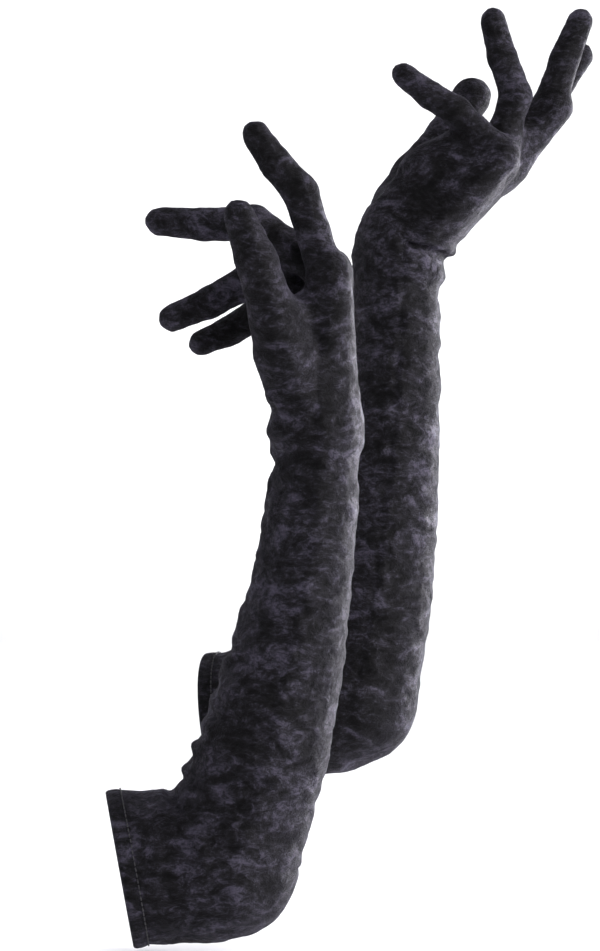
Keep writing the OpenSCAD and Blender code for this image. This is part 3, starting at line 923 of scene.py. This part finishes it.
def bisected(points, faces, cuts):
    """Cuts the mesh along planes, each within reach of its point, and drops what a cut throws away."""
    mesh = bmesh.new()
    vertices = [mesh.verts.new(p) for p in points]
    mesh.verts.ensure_lookup_table()
    for f in faces:
        mesh.faces.new([vertices[i] for i in f])
    for place, way, reach, drop in cuts:
        place_v, way_v = Vector(place), Vector(way)
        chosen = []
        for face in mesh.faces:
            middle = face.calc_center_bounds()
            off = middle - place_v
            if drop or (abs(off.dot(way_v)) < 6 and off.length < reach):
                chosen.append(face)
        geometry = set(chosen)
        for face in chosen:
            geometry.update(face.edges)
            geometry.update(face.verts)
        bmesh.ops.bisect_plane(
            mesh, geom=list(geometry), dist=0.12, plane_co=place_v, plane_no=way_v,
            clear_inner=drop, clear_outer=False)
    loose = [v for v in mesh.verts if not v.link_faces]
    bmesh.ops.delete(mesh, geom=loose, context="VERTS")
    mesh.verts.index_update()
    points = np.array([v.co for v in mesh.verts], float)
    faces = [tuple(v.index for v in f.verts) for f in mesh.faces]
    mesh.free()
    return points, faces


def digit_cut(glove, name):
    """Place and direction of the cut between a finger's root and its tip piece."""
    start = glove.thumb_roots[1] if name == "thumb" else glove.knuckle[name]
    way = unit(glove.joint[name] - start)
    return glove.joint[name] - way * DIGIT_CUT, way


def ring_of(points, centre, axis, count):
    """Angles evenly spread round an axis, the radius of the points at each, and the two directions across the
    axis.
    """
    side = unit(np.cross(axis, (0, 1, 0)))
    other = np.cross(axis, side)
    off = points - centre
    turn = np.arctan2(off @ other, off @ side)
    order = np.argsort(turn)
    turns = np.linspace(-math.pi, math.pi, count, endpoint=False)
    radius = np.hypot(off @ other, off @ side)[order]
    radius = np.interp(turns, turn[order], radius, period=2 * math.pi)
    return turns, radius, side, other


def swept_ring(name, glove, turns, radius, side, other, profile, material, lumps=0.0):
    """A closed ring: profile lists (distance from the cuff, distance outside the ring)."""
    points, faces = [], []
    count, size = len(turns), len(profile)
    for i, (turn, r) in enumerate(zip(turns, radius)):
        out = side * math.cos(turn) + other * math.sin(turn)
        lump = lumps * noise.noise(Vector((math.cos(turn) * 9, math.sin(turn) * 9, 3.1)))
        for along, rise in profile:
            points.append(glove.cuff + glove.hem_axis * along
                          + out * (r + rise + (lump if rise > 0 else 0)))
    for i in range(count):
        j = (i + 1) % count
        for k in range(size):
            m = (k + 1) % size
            faces.append((i * size + k, i * size + m, j * size + m, j * size + k))
    piece = new_object(name, points, faces, [material])
    piece.data.shade_smooth()
    return piece


def stitch_ring(name, glove, turns, radius, side, other, material):
    """The row of stitches that holds the turned hem: short, slightly arched lengths of thread."""
    points, faces = [], []
    stitches, sections, sides = 84, 5, 6
    for k in range(stitches):
        for j in range(sections):
            share = j / (sections - 1)
            turn = -math.pi + 2 * math.pi * (k + 0.08 + 0.78 * share) / stitches
            r = np.interp(turn, turns, radius, period=2 * math.pi)
            out = side * math.cos(turn) + other * math.sin(turn)
            rise = 0.25 + 0.75 * math.sin(math.pi * share)
            centre = glove.cuff + glove.hem_axis * (HEM_LENGTH - 0.1) + out * (r - 0.35 + rise)
            thick = 0.42 * (0.55 + 0.45 * math.sin(math.pi * share))
            for i in range(sides):
                angle = 2 * math.pi * i / sides
                points.append(centre + out * thick * math.cos(angle)
                              + glove.hem_axis * thick * math.sin(angle))
        first = k * sections * sides
        for j in range(sections - 1):
            for i in range(sides):
                a, b = first + j * sides + i, first + j * sides + (i + 1) % sides
                faces.append((a, b, b + sides, a + sides))
        faces.append(tuple(first + i for i in reversed(range(sides))))
        faces.append(tuple(first + (sections - 1) * sides + i for i in range(sides)))
    piece = new_object(name, points, faces, [material])
    piece.data.shade_smooth()
    return piece


def hem_pieces(glove, loop, velvet, elastic, thread):
    side = glove.side
    body = side + "_upper"
    turns, radius, one, other = ring_of(loop, glove.cuff, glove.hem_axis, 144)
    band = swept_ring(side + "_hem_turning", glove, turns, radius, one, other, HEM_PROFILE,
                      velvet, 0.5)
    tape = swept_ring(side + "_elastic_tape", glove, turns, radius, one, other, TAPE_PROFILE,
                      elastic)
    row = stitch_ring(side + "_hem_stitch_row", glove, turns, radius, one, other, thread)
    for piece, node, slot in ((band, "hem_band", "hem"), (tape, "hem_elastic", "elastic"),
                              (row, "hem_stitching", "thread")):
        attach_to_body(piece, body)
        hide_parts(f"{side}_{node}")


def build_glove(glove, field, coarse, moved, materials):
    side = glove.side
    velvet, lining, elastic, thread = materials
    points, faces = surface(field.value, field.low, field.step)
    points = smoothed(points, edges_of(faces), 3)
    middle, way = glove.forearm_point(0.5), glove.forearm_way(0.5)
    cuts = [(glove.cuff + glove.hem_axis * (HEM_LENGTH - 0.5), glove.hem_axis, 0, True),
            (middle, way, 60, False)]
    for name in FINGERS + ("thumb",):
        place, digit_way = digit_cut(glove, name)
        cuts.append((place, digit_way, 11.5, False))
    points, faces = bisected(points, faces, cuts)
    normals = point_normals(points, faces)
    places = Places(glove, points)
    if moved is not None:
        tree = kdtree.KDTree(len(coarse))
        for i, p in enumerate(coarse):
            tree.insert(p, i)
        tree.balance()
        shift = np.zeros_like(points)
        for i, p in enumerate(points):
            total, weight = np.zeros(3), 0.0
            for _, j, distance in tree.find_n(p, 4):
                w = 1 / (distance + 0.3)
                total += moved[j] * w
                weight += w
            shift[i] = total / weight
        points = points + shift * calm_share(glove, points, places)[:, None]
        normals = point_normals(points, faces)
    ease = np.interp(places.run, [HEM_LENGTH, HEM_LENGTH + 8], [0.0, 1.0])
    heights = wrinkle_heights(glove, points) + seam_heights(places)
    heights += crush_heights(points)
    points = points + normals * (heights * ease)[:, None]
    points = smoothed(points, edges_of(faces), 1, 0.35)
    normals = point_normals(points, faces)

    centres = np.array([points[list(f)].mean(axis=0) for f in faces])
    face_places = Places(glove, centres)
    kind = np.where((centres - middle) @ way > 0, 1, 0)
    for number, name in enumerate(FINGERS + ("thumb",)):
        place, digit_way = digit_cut(glove, name)
        beyond = ((centres - place) @ digit_way > 0) & (face_places.label == 3 + number)
        kind[beyond] = 2 + number
    pieces = {}
    names = ["sleeve_cloth", "hand_cloth"] + [f"{n}_cloth" for n in FINGERS + ("thumb",)]
    for number, name in enumerate(names):
        chosen = [faces[i] for i in np.nonzero(kind == number)[0]]
        piece = cloth_piece(f"{side}_{name}", points, normals, chosen, [velvet, lining])
        pieces[name] = piece
    edge = np.abs((points - glove.cuff) @ glove.hem_axis - (HEM_LENGTH - 0.5)) < 0.3
    edge &= np.linalg.norm(points - glove.cuff, axis=1) < 60
    hem_pieces(glove, points[edge], velvet, elastic, thread)
    return pieces


def across(place, way, reach):
    """Two points, reach before and after place along way, in metres."""
    return tuple((place - way * reach) * MM), tuple((place + way * reach) * MM)


def attach(glove, pieces):
    side = glove.side
    forearm_way = glove.forearm_way(0)
    sleeve_way = unit(glove.elbow - glove.cuff)
    start, end = across(glove.elbow, unit(sleeve_way + 0.42 * forearm_way), 34)
    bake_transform(pieces["sleeve_cloth"])
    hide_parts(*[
        f"{side}_{n}" for n in ("sleeve_palm_panel", "sleeve_back_panel", "sleeve_seams",
                                "forearm_palm_panel", "forearm_back_panel", "forearm_seams")])
    start, end = across(glove.wrist, unit(glove.forearm_way(1) + glove.along), 24)
    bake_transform(pieces["hand_cloth"])
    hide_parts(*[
        f"{side}_{n}" for n in ("hand_palm_panel", "hand_back_panel", "hand_seams")],
        *[f"{side}_{n}_root" for n in FINGERS + ("thumb",)])
    for name in FINGERS + ("thumb",):
        piece = pieces[name + "_cloth"]
        before = digit_cut(glove, name)[1]
        way = unit(before + unit(glove.tip[name] - glove.joint[name]))
        start, end = across(glove.joint[name], way, 9.0)
        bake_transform(piece)
        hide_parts(f"{side}_{name}_tip")


def main():
    materials = (velvet_material(), lining_material(), elastic_material(), thread_material())
    gloves = [Glove(side) for side in SIDES]
    fields = [glove_field(glove) for glove in gloves]
    coarse, moves = [None, None], [None, None]
    shells = []
    for field in fields:
        points, faces = surface(field.value[::2, ::2, ::2], field.low, field.step * 2)
        points = smoothed(points, edges_of(faces), 2)
        shells.append((points, faces))
    moves = gathered(gloves, shells)
    moves = [local_part(m, Places(g, s[0])) for g, s, m in zip(gloves, shells, moves)]
    coarse = [s[0] for s in shells]
    for glove, field, base, moved in zip(gloves, fields, coarse, moves):
        attach(glove, build_glove(glove, field, base, moved, materials))


def light(name, place, target, size, power, colour):
    data = bpy.data.lights.new(name, "AREA")
    data.shape = "DISK"
    data.size = size
    data.spread = LIGHT_SPREAD
    data.energy = power
    data.color = colour
    lamp = bpy.data.objects.new(name, data)
    lamp.location = place
    aim = (CAD_LOW + CAD_HIGH) / 2 if target is None else Vector(target)
    lamp.rotation_euler = (aim - Vector(place)).to_track_quat("-Z", "Y").to_euler()
    bpy.context.scene.collection.objects.link(lamp)


def studio():
    data = bpy.data.cameras.new("camera")
    data.lens = CAMERA_LENS
    data.sensor_width = 36.0
    data.dof.use_dof = False
    camera = bpy.data.objects.new("camera", data)
    camera.location = CAMERA_PLACE
    camera.rotation_euler = (math.radians(90), 0, 0)
    bpy.context.scene.collection.objects.link(camera)
    bpy.context.scene.camera = camera
    for settings in LIGHTS:
        light(*settings)
    world = bpy.data.worlds.new("studio")
    world.use_nodes = True
    world.node_tree.nodes["Background"].inputs[0].default_value = (0.9, 0.9, 0.92, 1)
    world.node_tree.nodes["Background"].inputs[1].default_value = 0.95
    bpy.context.scene.world = world
    bpy.context.scene.view_settings.view_transform = "Standard"
    floor = floor_mesh()


def floor_mesh():
    """A pale floor that curves up into a backdrop all round."""
    rings = [(r, 0.0) for r in (1.5, 3.0, 4.5, 6.0)]
    rings += [(6.0 + 2.0 * math.sin(a), 2.0 - 2.0 * math.cos(a))
              for a in (math.radians(d) for d in range(10, 91, 10))]
    rings.append((8.0, 7.0))
    turns = 64
    z = CAD_LOW.z - 0.003
    points = [
        (0.12 + r * math.cos(2 * math.pi * i / turns),
         0.1 + r * math.sin(2 * math.pi * i / turns), z + h)
        for r, h in rings for i in range(turns)
    ]
    faces = [
        (a * turns + i, a * turns + (i + 1) % turns,
         (a + 1) * turns + (i + 1) % turns, (a + 1) * turns + i)
        for a in range(len(rings) - 1) for i in range(turns)
    ]
    faces.append(tuple(reversed(range(turns))))
    mesh = bpy.data.meshes.new("floor")
    mesh.from_pydata(points, [], faces)
    mesh.shade_smooth()
    material = bpy.data.materials.new("pale_floor")
    material.use_nodes = True
    material.node_tree.nodes["Principled BSDF"].inputs["Base Color"].default_value = (
        0.93, 0.93, 0.94, 1)
    material.node_tree.nodes["Principled BSDF"].inputs["Roughness"].default_value = 0.9
    mesh.materials.append(material)
    floor = bpy.data.objects.new("floor", mesh)
    bpy.context.scene.collection.objects.link(floor)
    return floor


studio()
main()
